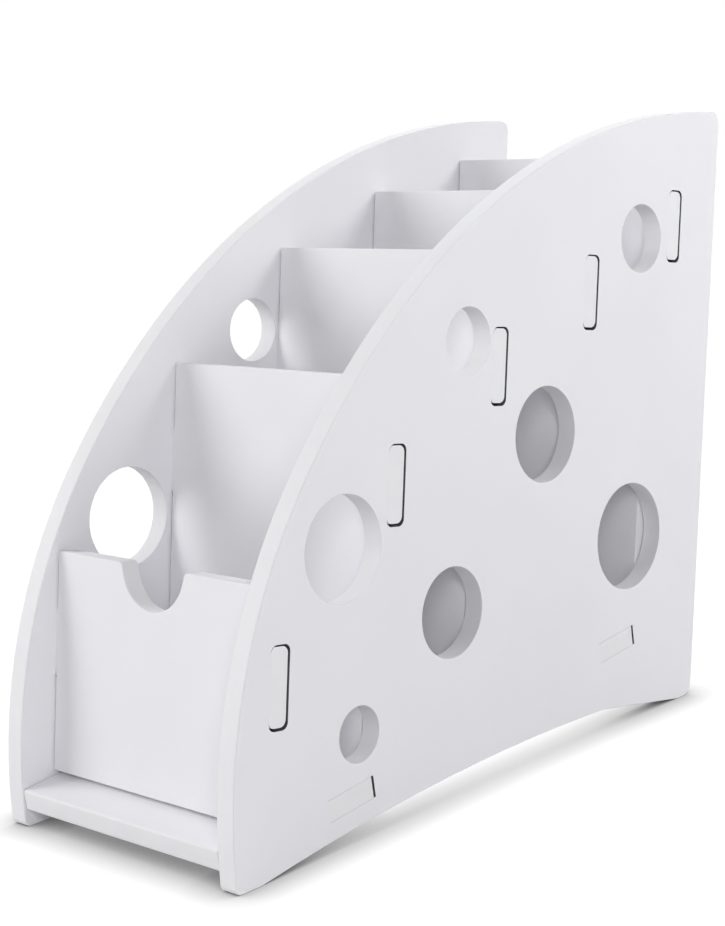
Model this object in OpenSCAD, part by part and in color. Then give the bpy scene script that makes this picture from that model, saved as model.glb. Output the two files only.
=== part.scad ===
// Remote control holder: two curved side panels carry a base board and five leaning cross plates on tenons.
// X runs across the holder, Y from front to back and Z up. The holder stands on Z = 0.

/* [Boards] */
// Outside width across both side panels
width = 90; // [70:1:120]
// Thickness of every board
board = 6; // [4:0.5:7]
// Angle by which the cross plates and the rear edge lean back
lean = 7.5; // [0:0.25:12]

/* [Side panel outline] */
// Depth on the table, from the front foot to the rear foot
foot_depth = 202.4; // [195:0.1:230]
// Radius of the lower front curve
front_radius = 147.5; // [140:0.5:160]
// Height of the foremost point of the front curve
front_height = 7; // [2:0.5:20]
// Radius of the flatter curve that runs on over the top
crown_radius = 222.5; // [205:0.5:250]
// Angle above the horizontal at which the two curves join
join_angle = 37.5; // [25:0.5:50]
// Rounding of the top rear corner
top_corner = 3.5; // [1:0.5:8]
// Rounding of the bottom rear corner
heel_corner = 4; // [1:0.5:6]
// Rounding of the bottom front corner
toe_corner = 2; // [0.5:0.5:3]

/* [Arch under the panels] */
// Height of the arch above the table
arch_height = 7.8; // [3:0.1:9]
// Length of the front foot, up to where the arch starts
front_foot = 9; // [4:0.5:12]
// Length of the rear foot, up to where the arch ends
rear_foot = 7; // [7:0.5:25]
// Length of the straight slope that the arch comes down on, if it came down the whole height
heel_slope = 45; // [20:1:60]
// Distance of the arch's highest point from the front
arch_crest = 118; // [95:1:125]

/* [Round holes in the side panels] */
// Diameter of the hole low at the front
hole_1_d = 15.4; // [8:0.1:20]
// Distance of its centre in front of the front divider
hole_1_ahead = 7.6; // [6:0.1:20]
// Height of its centre above the front foot, along the lean
hole_1_up = 35; // [30:0.1:50]
// Diameter of the hole behind the front plate
hole_2_d = 28.8; // [15:0.1:32]
// Distance of its centre in front of the front divider
hole_2_ahead = 16.2; // [12:0.1:20]
// Height of its centre above the front foot, along the lean
hole_2_up = 84.5; // [60:0.1:90]
// Diameter of the hole below the front divider's tenon
hole_3_d = 25.6; // [15:0.1:32]
// Distance of its centre in front of the middle divider
hole_3_ahead = 12.8; // [8:0.1:22]
// Height of its centre above the front foot, along the lean
hole_3_up = 63.9; // [45:0.1:90]
// Diameter of the hole between the front and middle dividers
hole_4_d = 18.9; // [8:0.1:20]
// Distance of its centre in front of the middle divider
hole_4_ahead = 10.6; // [10:0.1:20]
// Height of its centre above the front foot, along the lean
hole_4_up = 138.4; // [115:0.1:140]
// Diameter of the hole below the middle divider's tenon
hole_5_d = 27.9; // [15:0.1:32]
// Distance of its centre in front of the rear divider
hole_5_ahead = 15.6; // [10:0.1:20]
// Height of its centre above the front foot, along the lean
hole_5_up = 112; // [60:0.1:120]
// Diameter of the large hole low at the back
hole_6_d = 32.6; // [20:0.1:38]
// Distance of its centre in front of the back plate
hole_6_ahead = 12.8; // [8:0.1:24]
// Height of its centre above the front foot, along the lean
hole_6_up = 79.7; // [60:0.1:115]
// Diameter of the hole high at the back
hole_7_d = 20.5; // [8:0.1:24]
// Distance of its centre in front of the back plate
hole_7_ahead = 13.8; // [8:0.1:20]
// Height of its centre above the front foot, along the lean
hole_7_up = 169.9; // [150:0.1:180]

/* [Cross plates] */
// Distance of the front plate's front face behind the front foot
first_plate = 9.1; // [6:0.1:14]
// Distance from one cross plate to the next
plate_pitch = 41.5; // [34:0.1:44]
// Top of the front plate above the front foot, along the lean
front_plate_top = 76.5; // [70:0.5:80]
// Top of the front divider
front_divider_top = 128.5; // [120:0.5:133]
// Top of the middle divider
middle_divider_top = 163.5; // [150:0.5:166]
// Top of the rear divider
rear_divider_top = 183; // [170:0.5:186]
// Top of the back plate
back_plate_top = 196; // [188:0.5:197]
// Diameter of the thumb notch in the front plate
notch_d = 24; // [16:0.5:32]
// Rounding of the notch's upper corners
notch_corner = 2; // [0.5:0.5:4]

/* [Tenons and slots] */
// Height of each cross plate's tenon
tenon_height = 20.8; // [14:0.1:21.5]
// Lower end of the front plate's tenon above the front foot, along the lean
front_plate_tenon = 40.9; // [36:0.1:46]
// Lower end of the front divider's tenon
front_divider_tenon = 90; // [80:0.1:95]
// Lower end of the middle divider's tenon
middle_divider_tenon = 121.3; // [115:0.1:126]
// Lower end of the rear divider's tenon
rear_divider_tenon = 142.9; // [130:0.1:146]
// Lower end of the back plate's tenon
back_plate_tenon = 164.2; // [150:0.1:166]
// Room that a slot has behind and below its tenon
slot_room = 0.8; // [0.2:0.1:1.5]
// Room that a slot has above its tenon
top_room = 0.4; // [0.1:0.1:1]
// Rounding of the corners of the plates' tenons and of their slots
tenon_corner = 2; // [0.5:0.5:2]
// Gap between a board's shoulder and the side panel
shoulder_gap = 0.4; // [0.1:0.1:1]

/* [Base board] */
// Height of the base board's lower front edge above the table
base_front_height = 4.9; // [3:0.1:7]
// Angle by which the base board rises to the back
base_rise = 6.25; // [4:0.25:8]
// Length that the base board reaches past the back plate
base_tail = 2; // [0:0.5:6]
// Length of each of the base board's tenons
base_tenon = 16.8; // [10:0.2:24]
// Front end of the base board's front tenon, from the board's front edge
front_base_tenon = 34.2; // [28:0.2:60]
// Front end of the base board's rear tenon, from the board's front edge
rear_base_tenon = 155; // [130:0.2:158]
// Room that the base board's slots have above its tenons
base_slot_room = 0.1; // [0.1:0.1:1]
// Gap between the base board and the lower edge of each cross plate
seat_gap = 0.1; // [0:0.05:0.5]

/* [Hidden] */
$fn = 96;
white = "#f4f4f6";
inner_width = width - 2 * board;
// Width of every board that stands between the panels
body_width = inner_width - 2 * shoulder_gap;
// Far enough to clear the whole panel
reach = 3 * foot_depth;
// Directions up along a cross plate and straight back from it, as [depth, height]
plate_up = [sin(lean), cos(lean)];
plate_back = [cos(lean), -sin(lean)];

// Centres of the outline's two curves, which touch where they join
front_centre = [sqrt(pow(front_radius, 2) - pow(front_height, 2)), front_height];
crown_centre = front_centre + (front_radius - crown_radius) * [-cos(join_angle), sin(join_angle)];
// The rear edge leans back from this point of the table
heel = [foot_depth, 0];

plate_tops = [front_plate_top, front_divider_top, middle_divider_top, rear_divider_top, back_plate_top];
plate_tenons = [front_plate_tenon, front_divider_tenon, middle_divider_tenon, rear_divider_tenon,
                back_plate_tenon];
base_tenons = [front_base_tenon, rear_base_tenon];
last_plate = len(plate_tops) - 1;

// The base board's upper front edge, which is flush with the front foot
base_edge = [0, base_front_height + board * cos(base_rise)];
base_angle = base_rise + lean;
base_length = (plate_front(last_plate) + board + base_tail - base_edge * plate_back) / cos(base_angle);

// Centre of the rounding where the crown curve meets the rear edge, and that meeting point
top_centre = under_crown(foot_depth * cos(lean) - top_corner, crown_radius - top_corner);
top_tip = under_crown(foot_depth * cos(lean), crown_radius);
// The holder's own middle from front to back
middle = (front_centre[0] - front_radius + top_centre[0] + top_corner) / 2;

function plate_front(i) = first_plate + i * plate_pitch;
// Height of the base board's top where a plane parallel to the plates crosses it
function base_top(back) = base_edge * plate_up + (back - base_edge * plate_back) * tan(base_angle);
// The plates are cut square, so each one stands on its rear lower edge
function plate_bottom(i) = base_top(plate_front(i) + board) + seat_gap;
// The point that lies this far back from the front foot and this far from the crown's centre
function under_crown(back, radius) = back * plate_back + plate_up
    * (crown_centre * plate_up + sqrt(pow(radius, 2) - pow(back - crown_centre * plate_back, 2)));

// What is left of a corner outside a circle that touches both of its edges
module corner_waste(centre, radius, first_touch, corner, second_touch) {
    difference() {
        polygon([for (p = [centre, first_touch, corner, second_touch]) centre + 2 * (p - centre)]);
        translate(centre) circle(r = radius);
    }
}

// The lower curve bounds the panel below the line where the curves join, and the crown curve above it
module inside_curves() {
    along_join = [-cos(join_angle), sin(join_angle)];
    below_join = [-sin(join_angle), -cos(join_angle)];
    lower_part = [for (d = [[0, 0], along_join, along_join + below_join, below_join]) front_centre + reach * d];
    intersection() {
        translate(front_centre) circle(r = front_radius);
        polygon(lower_part);
    }
    difference() {
        translate(crown_centre) circle(r = crown_radius);
        polygon(lower_part);
    }
}

module rounded_outline() {
    toe_depth = front_centre[0] - sqrt(pow(front_radius - toe_corner, 2) - pow(front_height - toe_corner, 2));
    toe_centre = [toe_depth, toe_corner];
    toe_touch = front_centre + front_radius / (front_radius - toe_corner) * (toe_centre - front_centre);
    heel_centre = heel + heel_corner * [(sin(lean) - 1) / cos(lean), 1];
    crown_touch = crown_centre + crown_radius / (crown_radius - top_corner) * (top_centre - crown_centre);
    difference() {
        intersection() {
            inside_curves();
            polygon([[-reach, 0], heel, heel + reach * plate_up, [-reach, reach]]);
        }
        corner_waste(toe_centre, toe_corner, toe_touch, [0, 0], [toe_depth, 0]);
        corner_waste(heel_centre, heel_corner, [heel_centre[0], 0], heel, heel_centre + heel_corner * plate_back);
        corner_waste(top_centre, top_corner, crown_touch, top_tip, top_centre + top_corner * plate_back);
    }
}

// The shallow arch rises in a curve from the front foot and comes down in a straight slope to the rear foot
module arch() {
    arch_radius = (pow(arch_crest - front_foot, 2) + pow(arch_height, 2)) / (2 * arch_height);
    slope_end = foot_depth - rear_foot;
    intersection() {
        translate([arch_crest, arch_height - arch_radius]) circle(r = arch_radius, $fn = 400);
        polygon([[0, -board], [slope_end, -board], [slope_end, 0], [slope_end - heel_slope, arch_height],
                 [slope_end - heel_slope, 2 * arch_height], [0, 2 * arch_height]]);
    }
}

// A round hole keeps its distance from the slot behind it
module hole_ahead_of(i, distance, up, diameter) {
    rotate(-lean) translate([plate_front(i) - distance, up]) circle(d = diameter);
}

module round_holes() {
    hole_ahead_of(1, hole_1_ahead, hole_1_up, hole_1_d);
    hole_ahead_of(1, hole_2_ahead, hole_2_up, hole_2_d);
    hole_ahead_of(2, hole_3_ahead, hole_3_up, hole_3_d);
    hole_ahead_of(2, hole_4_ahead, hole_4_up, hole_4_d);
    hole_ahead_of(3, hole_5_ahead, hole_5_up, hole_5_d);
    hole_ahead_of(4, hole_6_ahead, hole_6_up, hole_6_d);
    hole_ahead_of(4, hole_7_ahead, hole_7_up, hole_7_d);
}

// A plate's tenon or slot seen from the side, with rounded corners
module rounded_block(depth, height) {
    centre = [tenon_corner, tenon_corner];
    difference() {
        square([depth, height]);
        for (back = [0, 1], up = [0, 1])
            translate([back * depth, up * height]) mirror([back, 0]) mirror([0, up])
                corner_waste(centre, tenon_corner, [0, tenon_corner], [0, 0], [tenon_corner, 0]);
    }
}

module plate_slots() {
    for (i = [0 : last_plate])
        rotate(-lean) translate([plate_front(i), plate_tenons[i] - slot_room])
            rounded_block(board + slot_room, slot_room + tenon_height + top_room);
}

// Draws in the base board's own plane, from its lower front edge
module on_base() {
    translate([board * sin(base_rise), base_front_height]) rotate(base_rise) children();
}

module side_panel() {
    color(white) translate([0, -middle, 0]) rotate([90, 0, 90]) linear_extrude(board) difference() {
        rounded_outline();
        arch();
        round_holes();
        plate_slots();
        on_base() for (start = base_tenons)
            translate([start, 0]) square([base_tenon + slot_room, board + base_slot_room]);
    }
}

module left_side_panel() {
    translate([-width / 2, 0, 0]) side_panel();
}

module right_side_panel() {
    translate([width / 2 - board, 0, 0]) side_panel();
}

module cross_plate(i) {
    color(white) translate([0, -middle, 0]) rotate([90, 0, 90]) rotate(-lean) {
        translate([plate_front(i), plate_bottom(i), -body_width / 2]) linear_extrude(body_width)
            square([board, plate_tops[i] - plate_bottom(i)]);
        translate([plate_front(i), plate_tenons[i], -width / 2]) linear_extrude(width)
            rounded_block(board, tenon_height);
    }
}

// A half-round notch with rounded lips, so that a thumb reaches what stands behind the plate
module thumb_notch() {
    radius = notch_d / 2;
    lip = [sqrt(pow(radius + notch_corner, 2) - pow(notch_corner, 2)), -notch_corner];
    circle(r = radius);
    for (side = [0, 1])
        mirror([side, 0]) corner_waste(lip, notch_corner, [lip[0], 0], [radius, 0],
                                       radius / (radius + notch_corner) * lip);
}

module front_plate() {
    difference() {
        cross_plate(0);
        color(white) translate([0, -middle, 0]) rotate([90 - lean, 0, 0])
            translate([0, front_plate_top, -plate_front(0) - 2 * board])
            linear_extrude(3 * board) thumb_notch();
    }
}

module front_divider() {
    cross_plate(1);
}

module middle_divider() {
    cross_plate(2);
}

module rear_divider() {
    cross_plate(3);
}

module back_plate() {
    cross_plate(4);
}

module base_board() {
    color(white) translate([0, -middle, 0]) rotate([90, 0, 90]) on_base() {
        translate([0, 0, -body_width / 2]) linear_extrude(body_width) square([base_length, board]);
        for (start = base_tenons)
            translate([start, 0, -width / 2]) linear_extrude(width) square([base_tenon, board]);
    }
}

left_side_panel();
right_side_panel();
front_plate();
front_divider();
middle_divider();
rear_divider();
back_plate();
base_board();
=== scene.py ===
import math

import bpy
from mathutils import Matrix, Vector


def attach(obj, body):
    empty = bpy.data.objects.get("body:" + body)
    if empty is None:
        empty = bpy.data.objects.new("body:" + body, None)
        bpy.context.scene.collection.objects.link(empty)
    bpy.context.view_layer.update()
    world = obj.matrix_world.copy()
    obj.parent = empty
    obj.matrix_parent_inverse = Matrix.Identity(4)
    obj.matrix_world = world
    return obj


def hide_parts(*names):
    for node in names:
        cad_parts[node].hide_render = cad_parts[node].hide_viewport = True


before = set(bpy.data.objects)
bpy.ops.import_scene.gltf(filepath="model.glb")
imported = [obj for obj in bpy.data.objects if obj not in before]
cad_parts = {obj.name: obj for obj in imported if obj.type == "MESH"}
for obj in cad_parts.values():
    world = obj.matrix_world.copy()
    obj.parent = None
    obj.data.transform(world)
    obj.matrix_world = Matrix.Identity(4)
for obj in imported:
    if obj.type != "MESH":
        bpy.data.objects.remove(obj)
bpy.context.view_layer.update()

# The camera
# It stands to the right of the holder's front, a little above its middle, and leans by three degrees, as
# the photograph was taken. The lens is a long one, so the two side panels look nearly alike in size.
view_right = Vector((0.73687, 0.67398, -0.05263))
view_up = Vector((-0.08238, 0.16679, 0.98254))
view_back = view_right.cross(view_up).normalized()
camera_place = Vector((0.38660, -0.42543, 0.19129))
camera_data = bpy.data.cameras.new("camera")
camera_data.sensor_width = 36.0
camera_data.lens = 76.63
camera = bpy.data.objects.new("camera", camera_data)
bpy.context.scene.collection.objects.link(camera)
camera.matrix_world = Matrix((
    (view_right.x, view_up.x, view_back.x, camera_place.x),
    (view_right.y, view_up.y, view_back.y, camera_place.y),
    (view_right.z, view_up.z, view_back.z, camera_place.z),
    (0.0, 0.0, 0.0, 1.0),
))
bpy.context.scene.camera = camera

# The two side panels
# Each is routed in one piece from white foamed board, 6 mm thick, with a satin skin on both faces. The
# cutter leaves the walls of the board matt and finely open. The outline is rounded with fine paper, the
# round holes a little less, and the slots stay crisp, because the other boards' tenons are glued into them.
OUTLINE_EASED = 0.0004
HOLE_EASED = 0.0002
SLOT_EASED = 0.00008
LARGEST_HOLE_RADIUS = 0.04
ROUND_WITHIN = 0.0002
MOST_CORNERS_OF_A_SQUARE_SLOT = 8
MERGED_WITHIN = 0.000002
FLAT_WITHIN = math.radians(0.2)
SHARP_FROM = 0.5
SMOOTH_BELOW = math.radians(35.0)
FACE_ON = 0.95
EDGE_ON = 0.1


def new_material(name):
    material = bpy.data.materials.new(name)
    material.use_nodes = True
    nodes, links = material.node_tree.nodes, material.node_tree.links
    shader = next(n for n in nodes if n.type == "BSDF_PRINCIPLED")
    return material, nodes, links, shader


def noise_over(nodes, links, place, scale, detail, roughness):
    noise = nodes.new("ShaderNodeTexNoise")
    noise.inputs["Scale"].default_value = scale
    noise.inputs["Detail"].default_value = detail
    noise.inputs["Roughness"].default_value = roughness
    links.new(place, noise.inputs["Vector"])
    return noise.outputs["Fac"]


def colours_between(nodes, links, amount, low, high):
    ramp = nodes.new("ShaderNodeValToRGB")
    ramp.color_ramp.elements[0].position = 0.3
    ramp.color_ramp.elements[0].color = (*low, 1.0)
    ramp.color_ramp.elements[1].position = 0.7
    ramp.color_ramp.elements[1].color = (*high, 1.0)
    links.new(amount, ramp.inputs["Fac"])
    return ramp.outputs["Color"]


def bump_from(nodes, links, height, strength, distance, under=None):
    bump = nodes.new("ShaderNodeBump")
    bump.inputs["Strength"].default_value = strength
    bump.inputs["Distance"].default_value = distance
    links.new(height, bump.inputs["Height"])
    if under is not None:
        links.new(under, bump.inputs["Normal"])
    return bump.outputs["Normal"]


def satin_board_skin():
    """The rolled skin of the board: faint clouds in the white, slow waves and a fine satin texture."""
    material, nodes, links, shader = new_material("satin_board_skin")
    place = nodes.new("ShaderNodeTexCoord").outputs["Object"]
    clouds = noise_over(nodes, links, place, 22.0, 3.0, 0.5)
    white = colours_between(nodes, links, clouds, (0.878, 0.877, 0.910), (0.903, 0.902, 0.934))
    links.new(white, shader.inputs["Base Color"])
    texture = noise_over(nodes, links, place, 900.0, 2.0, 0.6)
    gloss = nodes.new("ShaderNodeMapRange")
    gloss.inputs["To Min"].default_value = 0.44
    gloss.inputs["To Max"].default_value = 0.56
    links.new(texture, gloss.inputs["Value"])
    links.new(gloss.outputs["Result"], shader.inputs["Roughness"])
    shader.inputs["Specular IOR Level"].default_value = 0.3
    waves = noise_over(nodes, links, place, 35.0, 1.0, 0.5)
    slow = bump_from(nodes, links, waves, 0.12, 0.0006)
    links.new(bump_from(nodes, links, texture, 0.10, 0.00008, slow), shader.inputs["Normal"])
    return material


def routed_board(name, low, high):
    """A routed wall: the foam's cells lie open, and the cutter has left fine marks across the board."""
    material, nodes, links, shader = new_material(name)
    place = nodes.new("ShaderNodeTexCoord").outputs["Object"]
    clouds = noise_over(nodes, links, place, 60.0, 3.0, 0.6)
    links.new(colours_between(nodes, links, clouds, low, high), shader.inputs["Base Color"])
    shader.inputs["Roughness"].default_value = 0.64
    shader.inputs["Specular IOR Level"].default_value = 0.25
    cells = nodes.new("ShaderNodeTexVoronoi")
    cells.inputs["Scale"].default_value = 1600.0
    links.new(place, cells.inputs["Vector"])
    across = nodes.new("ShaderNodeMapping")
    across.inputs["Scale"].default_value = (0.06, 1.0, 1.0)
    links.new(place, across.inputs["Vector"])
    marks = noise_over(nodes, links, across.outputs["Vector"], 700.0, 2.0, 0.5)
    cut = bump_from(nodes, links, marks, 0.15, 0.00005)
    open_cells = bump_from(nodes, links, cells.outputs["Distance"], 0.22, 0.00005, cut)
    links.new(open_cells, shader.inputs["Normal"])
    return material


def painted_slot_gap_shade():
    """The wall of a slot, and of the tenon in it: painted dark grey as the shade in the narrow gap."""
    material, nodes, links, shader = new_material("painted_slot_gap_shade")
    place = nodes.new("ShaderNodeTexCoord").outputs["Object"]
    dust = noise_over(nodes, links, place, 400.0, 2.0, 0.5)
    grey = colours_between(nodes, links, dust, (0.09, 0.09, 0.09), (0.13, 0.13, 0.13))
    links.new(grey, shader.inputs["Base Color"])
    shader.inputs["Roughness"].default_value = 0.9
    shader.inputs["Specular IOR Level"].default_value = 0.1
    return material


skin = satin_board_skin()
cut_edge = routed_board("routed_board_edge", (0.878, 0.878, 0.898), (0.908, 0.908, 0.927))
# The walls of the slots and of the tenons in them are painted dark grey as the shade in their narrow gaps.
slot_gap_shade = painted_slot_gap_shade()
# The walls of the round holes are routed like the outline, but painted a little greyer as the shade in the
# holes.
hole_wall_shade = routed_board("routed_hole_wall_painted_shade", (0.79, 0.79, 0.81), (0.82, 0.82, 0.84))
SKIN, CUT_EDGE, SLOT_GAP_SHADE, HOLE_WALL_SHADE = 0, 1, 2, 3


def board_from(node, name):
    """A copy of a CAD board as one closed shell with whole faces."""
    board = bpy.data.objects.new(name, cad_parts[node].data.copy())
    bpy.context.scene.collection.objects.link(board)
    bpy.ops.object.select_all(action="DESELECT")
    bpy.context.view_layer.objects.active = board
    board.select_set(True)
    bpy.ops.object.mode_set(mode="EDIT")
    bpy.ops.mesh.select_mode(type="EDGE")
    bpy.ops.mesh.select_all(action="SELECT")
    bpy.ops.mesh.remove_doubles(threshold=MERGED_WITHIN)
    bpy.ops.mesh.dissolve_limited(angle_limit=FLAT_WITHIN)
    bpy.ops.mesh.select_all(action="DESELECT")
    bpy.ops.object.mode_set(mode="OBJECT")
    return board


def arrises(mesh):
    """The edges at which two faces of the board meet at a corner, as {key: the two normals}."""
    faces_at = {}
    for face in mesh.polygons:
        for key in face.edge_keys:
            faces_at.setdefault(key, []).append(face.normal.copy())
    return {key: pair for key, pair in faces_at.items()
            if len(pair) == 2 and pair[0].angle(pair[1]) > SHARP_FROM}


def ease(board, radii):
    """Rounds the arrises with these keys by their radii, as fine paper does."""
    widest = max(radii.values())
    weights = board.data.attributes.new("bevel_weight_edge", "FLOAT", "EDGE")
    for edge in board.data.edges:
        weights.data[edge.index].value = radii.get(edge.key, 0.0) / widest
    bpy.ops.object.modifier_add(type="BEVEL")
    rounding = board.modifiers[-1]
    rounding.limit_method = "WEIGHT"
    rounding.width = widest
    rounding.segments = 4
    rounding.miter_outer = "MITER_SHARP"
    rounding.use_clamp_overlap = True
    rounding.loop_slide = False
    bpy.ops.object.modifier_apply(modifier=rounding.name)


def finish_board(board, node, face_direction, look_of, radii):
    """Gives each face its look, eases the arrises and lets the board stand for its CAD node."""
    mesh = board.data
    mesh.materials.clear()
    for material in (skin, cut_edge, slot_gap_shade, hole_wall_shade):
        mesh.materials.append(material)
    for face in mesh.polygons:
        face.material_index = look_of(face)
    ease(board, radii)
    for face in mesh.polygons:
        if face.material_index == CUT_EDGE and abs(face.normal.dot(face_direction)) > FACE_ON:
            face.material_index = SKIN
    bpy.ops.object.shade_smooth_by_angle(angle=SMOOTH_BELOW)
    bpy.ops.object.modifier_add(type="WEIGHTED_NORMAL")
    board.modifiers[-1].keep_sharp = True
    bpy.ops.object.modifier_apply(modifier=board.modifiers[-1].name)
    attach(board, "root")
    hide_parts(node)


def rims_of(keys):
    """Groups edges into the closed rims that they run round."""
    neighbours = {}
    for a, b in keys:
        neighbours.setdefault(a, []).append(b)
        neighbours.setdefault(b, []).append(a)
    rims = []
    while neighbours:
        waiting = [next(iter(neighbours))]
        rim = set()
        while waiting:
            corner = waiting.pop()
            rim.add(corner)
            waiting += neighbours.pop(corner, [])
        rims.append(rim)
    return rims


def easing_of(mesh, rim):
    """How much a rim is eased: the outline most, a round hole less, a slot hardly at all."""
    corners = [mesh.vertices[i].co for i in rim]
    middle = sum(corners, Vector()) / len(corners)
    distances = [(corner - middle).length for corner in corners]
    if max(distances) > LARGEST_HOLE_RADIUS:
        return OUTLINE_EASED
    is_round = len(rim) > MOST_CORNERS_OF_A_SQUARE_SLOT and max(distances) - min(distances) < ROUND_WITHIN
    return HOLE_EASED if is_round else SLOT_EASED


def runs_across(face):
    """Tells whether a face is a wall that runs across the holder, as those of holes, slots and edges do."""
    return abs(face.normal.x) < EDGE_ON


across_holder = Vector((1.0, 0.0, 0.0))
lean = math.radians(7.5)
through_plate = Vector((0.0, math.cos(lean), -math.sin(lean)))
for node in ("left_side_panel", "right_side_panel"):
    board = board_from(node, node.replace("_panel", "_board"))
    face_rims = [key for key, pair in arrises(board.data).items()
                 if any(abs(normal.dot(across_holder)) > FACE_ON for normal in pair)]
    easing_at = {i: easing_of(board.data, rim) for rim in rims_of(face_rims) for i in rim}

    def look_in_panel(face):
        """The look of a wall: painted dark grey as shade in a slot, except at the slot's front, and painted
        a little greyer as shade in a round hole.
        """
        radii_there = {easing_at.get(i) for i in face.vertices}
        if runs_across(face) and radii_there == {HOLE_EASED}:
            return HOLE_WALL_SHADE
        at_front = face.normal.dot(through_plate) >= EDGE_ON
        return SLOT_GAP_SHADE if runs_across(face) and radii_there == {SLOT_EASED} and not at_front else CUT_EDGE

    radii = {key: easing_at[key[0]] for key in face_rims}
    finish_board(board, node, across_holder, look_in_panel, radii)

# The front plate and the four plates behind it
# They are cut from the same board and lean back together. A tenon at each end of a plate goes through its
# slot and ends flush with the outside of the panel, and the walls of the gap round it are painted dark grey
# as shade. The front plate has a notch for a thumb. The edges between the panels are eased by hand, and the
# tenons hardly at all.
PLATE_EASED = 0.0004
TENON_EASED = 0.00006
SHOULDER = 0.0386
AT_SHOULDER_WITHIN = 0.0001


def easing_between_panels(mesh, radius):
    """Eases what shows between the panels well, and the ends of the tenons hardly at all."""
    far = {v.index: abs(v.co.x) for v in mesh.vertices}
    tenon_end = max(far.values()) - AT_SHOULDER_WITHIN
    radii = {}
    for a, b in arrises(mesh):
        nearer, farther = sorted((far[a], far[b]))
        from_side_to_side = mesh.vertices[a].co.x * mesh.vertices[b].co.x < 0.0
        if nearer > tenon_end:
            radii[a, b] = TENON_EASED
        elif farther < SHOULDER + AT_SHOULDER_WITHIN:
            if from_side_to_side or nearer < SHOULDER - AT_SHOULDER_WITHIN:
                radii[a, b] = radius
    return radii


def look_between_panels(board):
    """Gives the look of a face: painted dark grey as shade where a tenon lines the gap above, below or
    behind it.
    """
    corners = board.data.vertices

    def look(face):
        side = math.copysign(1.0, face.center.x)
        on_tenon = all(corners[i].co.x * side > SHOULDER - AT_SHOULDER_WITHIN for i in face.vertices)
        at_front = face.normal.dot(through_plate) <= -EDGE_ON
        return SLOT_GAP_SHADE if on_tenon and runs_across(face) and not at_front else CUT_EDGE

    return look


for node in ("front_plate", "front_divider", "middle_divider", "rear_divider", "back_plate"):
    board = board_from(node, node + "_board")
    radii = easing_between_panels(board.data, PLATE_EASED)
    finish_board(board, node, through_plate, look_between_panels(board), radii)

# The base board
# It is the floor of the four compartments and the small shelf in front of them, one piece of the same board.
# It rises a little to the back and hangs between the panels on two tenons at each side.
BASE_EASED = 0.0008
base_rise = math.radians(6.25)
through_base = Vector((0.0, -math.sin(base_rise), math.cos(base_rise)))
board = board_from("base_board", "base_board_eased")
radii = easing_between_panels(board.data, BASE_EASED)
finish_board(board, "base_board", through_base, look_between_panels(board), radii)

# The table and the backdrop
# A wide matt white table in a white room. To the eye it glows pure white up to a finger's breadth from the
# holder, where a soft shadow is painted into the glow, close round the feet and under the arches.
TABLE_WIDTH = 12.0
SHADOW_REACH = 0.012
BLACK_UP_TO = 0.03
ROOM_LIGHT = 0.12
SHOWN_AS_WHITE = 1.0
bpy.ops.mesh.primitive_plane_add(size=TABLE_WIDTH, location=(0.0, 0.0, 0.0))
table = bpy.context.object
table.name = "table"
material, nodes, links, shader = new_material("white_table")
shader.inputs["Base Color"].default_value = (0.85, 0.85, 0.85, 1.0)
shader.inputs["Roughness"].default_value = 0.9
shader.inputs["Specular IOR Level"].default_value = 0.0


def seen_directly(nodes, links):
    """One where a ray comes from the camera, a reflection or glass, and nought where it carries light."""
    path = nodes.new("ShaderNodeLightPath")
    most = path.outputs["Is Camera Ray"]
    for name in ("Is Glossy Ray", "Is Transmission Ray"):
        either = nodes.new("ShaderNodeMath")
        either.operation = "MAXIMUM"
        links.new(most, either.inputs[0])
        links.new(path.outputs[name], either.inputs[1])
        most = either.outputs[0]
    return most


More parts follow.
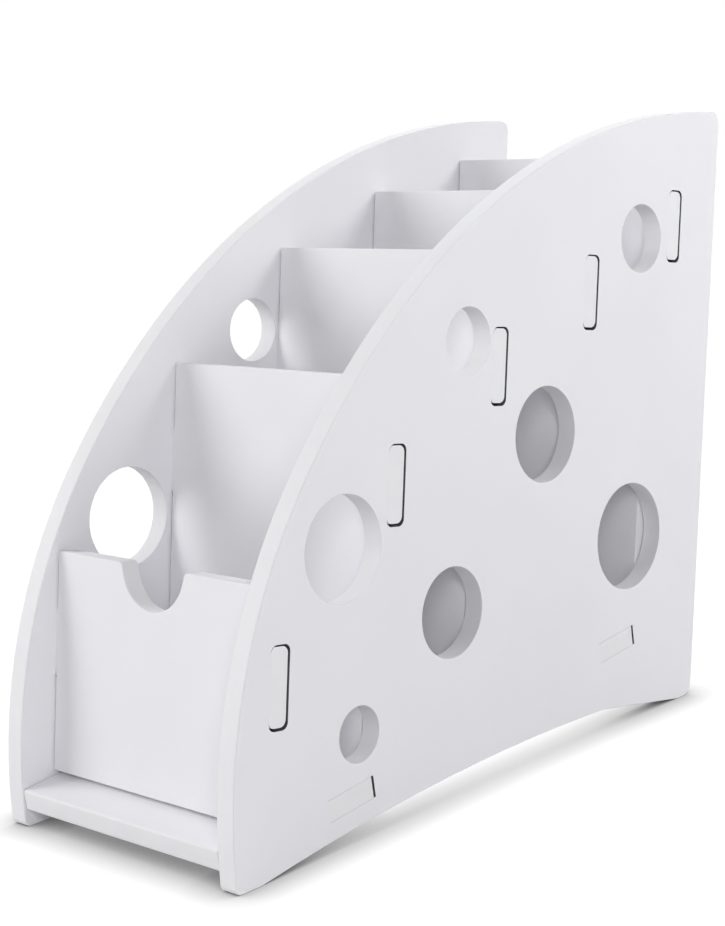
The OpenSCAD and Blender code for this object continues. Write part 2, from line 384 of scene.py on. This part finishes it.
seen_table = nodes.new("ShaderNodeBsdfDiffuse")
seen_table.inputs["Color"].default_value = (0.06, 0.06, 0.06, 1.0)
# Painted shadow: the glow is dimmed where the holder lies within a finger's breadth of the table.
near = nodes.new("ShaderNodeAmbientOcclusion")
near.samples = 16
near.inputs["Distance"].default_value = SHADOW_REACH
painted_contact_shadow = nodes.new("ShaderNodeMapRange")
painted_contact_shadow.inputs["From Min"].default_value = BLACK_UP_TO
painted_contact_shadow.inputs["To Max"].default_value = SHOWN_AS_WHITE
links.new(near.outputs["AO"], painted_contact_shadow.inputs["Value"])
glow = nodes.new("ShaderNodeEmission")
links.new(painted_contact_shadow.outputs["Result"], glow.inputs["Strength"])
shown_table = nodes.new("ShaderNodeAddShader")
links.new(seen_table.outputs[0], shown_table.inputs[0])
links.new(glow.outputs[0], shown_table.inputs[1])
either_table = nodes.new("ShaderNodeMixShader")
links.new(seen_directly(nodes, links), either_table.inputs["Fac"])
links.new(shader.outputs[0], either_table.inputs[1])
links.new(shown_table.outputs[0], either_table.inputs[2])
out = next(n for n in nodes if n.type == "OUTPUT_MATERIAL")
links.new(either_table.outputs[0], out.inputs["Surface"])
table.data.materials.append(material)

world = bpy.data.worlds.new("white_room")
bpy.context.scene.world = world
world.use_nodes = True
nodes, links = world.node_tree.nodes, world.node_tree.links
room = next(n for n in nodes if n.type == "BACKGROUND")
room.inputs["Color"].default_value = (1.0, 1.0, 1.0, 1.0)
level = nodes.new("ShaderNodeMapRange")
level.inputs["To Min"].default_value = ROOM_LIGHT
level.inputs["To Max"].default_value = SHOWN_AS_WHITE
links.new(seen_directly(nodes, links), level.inputs["Value"])
links.new(level.outputs["Result"], room.inputs["Strength"])

# The lamps
# Large soft lamps stand round the table and point at the holder's middle. The nearest is to the right and
# behind, so the right panel is brightest at the top of its back.
holder_middle = Vector((0.0, 0.0, 0.09))


def soft_lamp(name, place, size, power):
    data = bpy.data.lights.new(name, "AREA")
    data.shape = "DISK"
    data.size = size
    data.energy = power
    lamp = bpy.data.objects.new(name, data)
    bpy.context.scene.collection.objects.link(lamp)
    lamp.location = place
    lamp.rotation_mode = "QUATERNION"
    lamp.rotation_quaternion = (holder_middle - Vector(place)).to_track_quat("-Z", "Y")


soft_lamp("near_right_lamp", (0.45, 0.35, 0.45), 0.3, 1.68)
soft_lamp("front_right_lamp", (0.9, -0.8, 0.6), 0.6, 5.2)
soft_lamp("overhead_lamp", (0.0, 0.0, 1.3), 1.0, 0.9)
soft_lamp("front_left_lamp", (-0.8, -0.7, 0.7), 0.8, 8.25)
soft_lamp("back_left_lamp", (-0.6, 0.7, 0.9), 0.8, 3.9)

bpy.context.scene.view_settings.view_transform = "Standard"
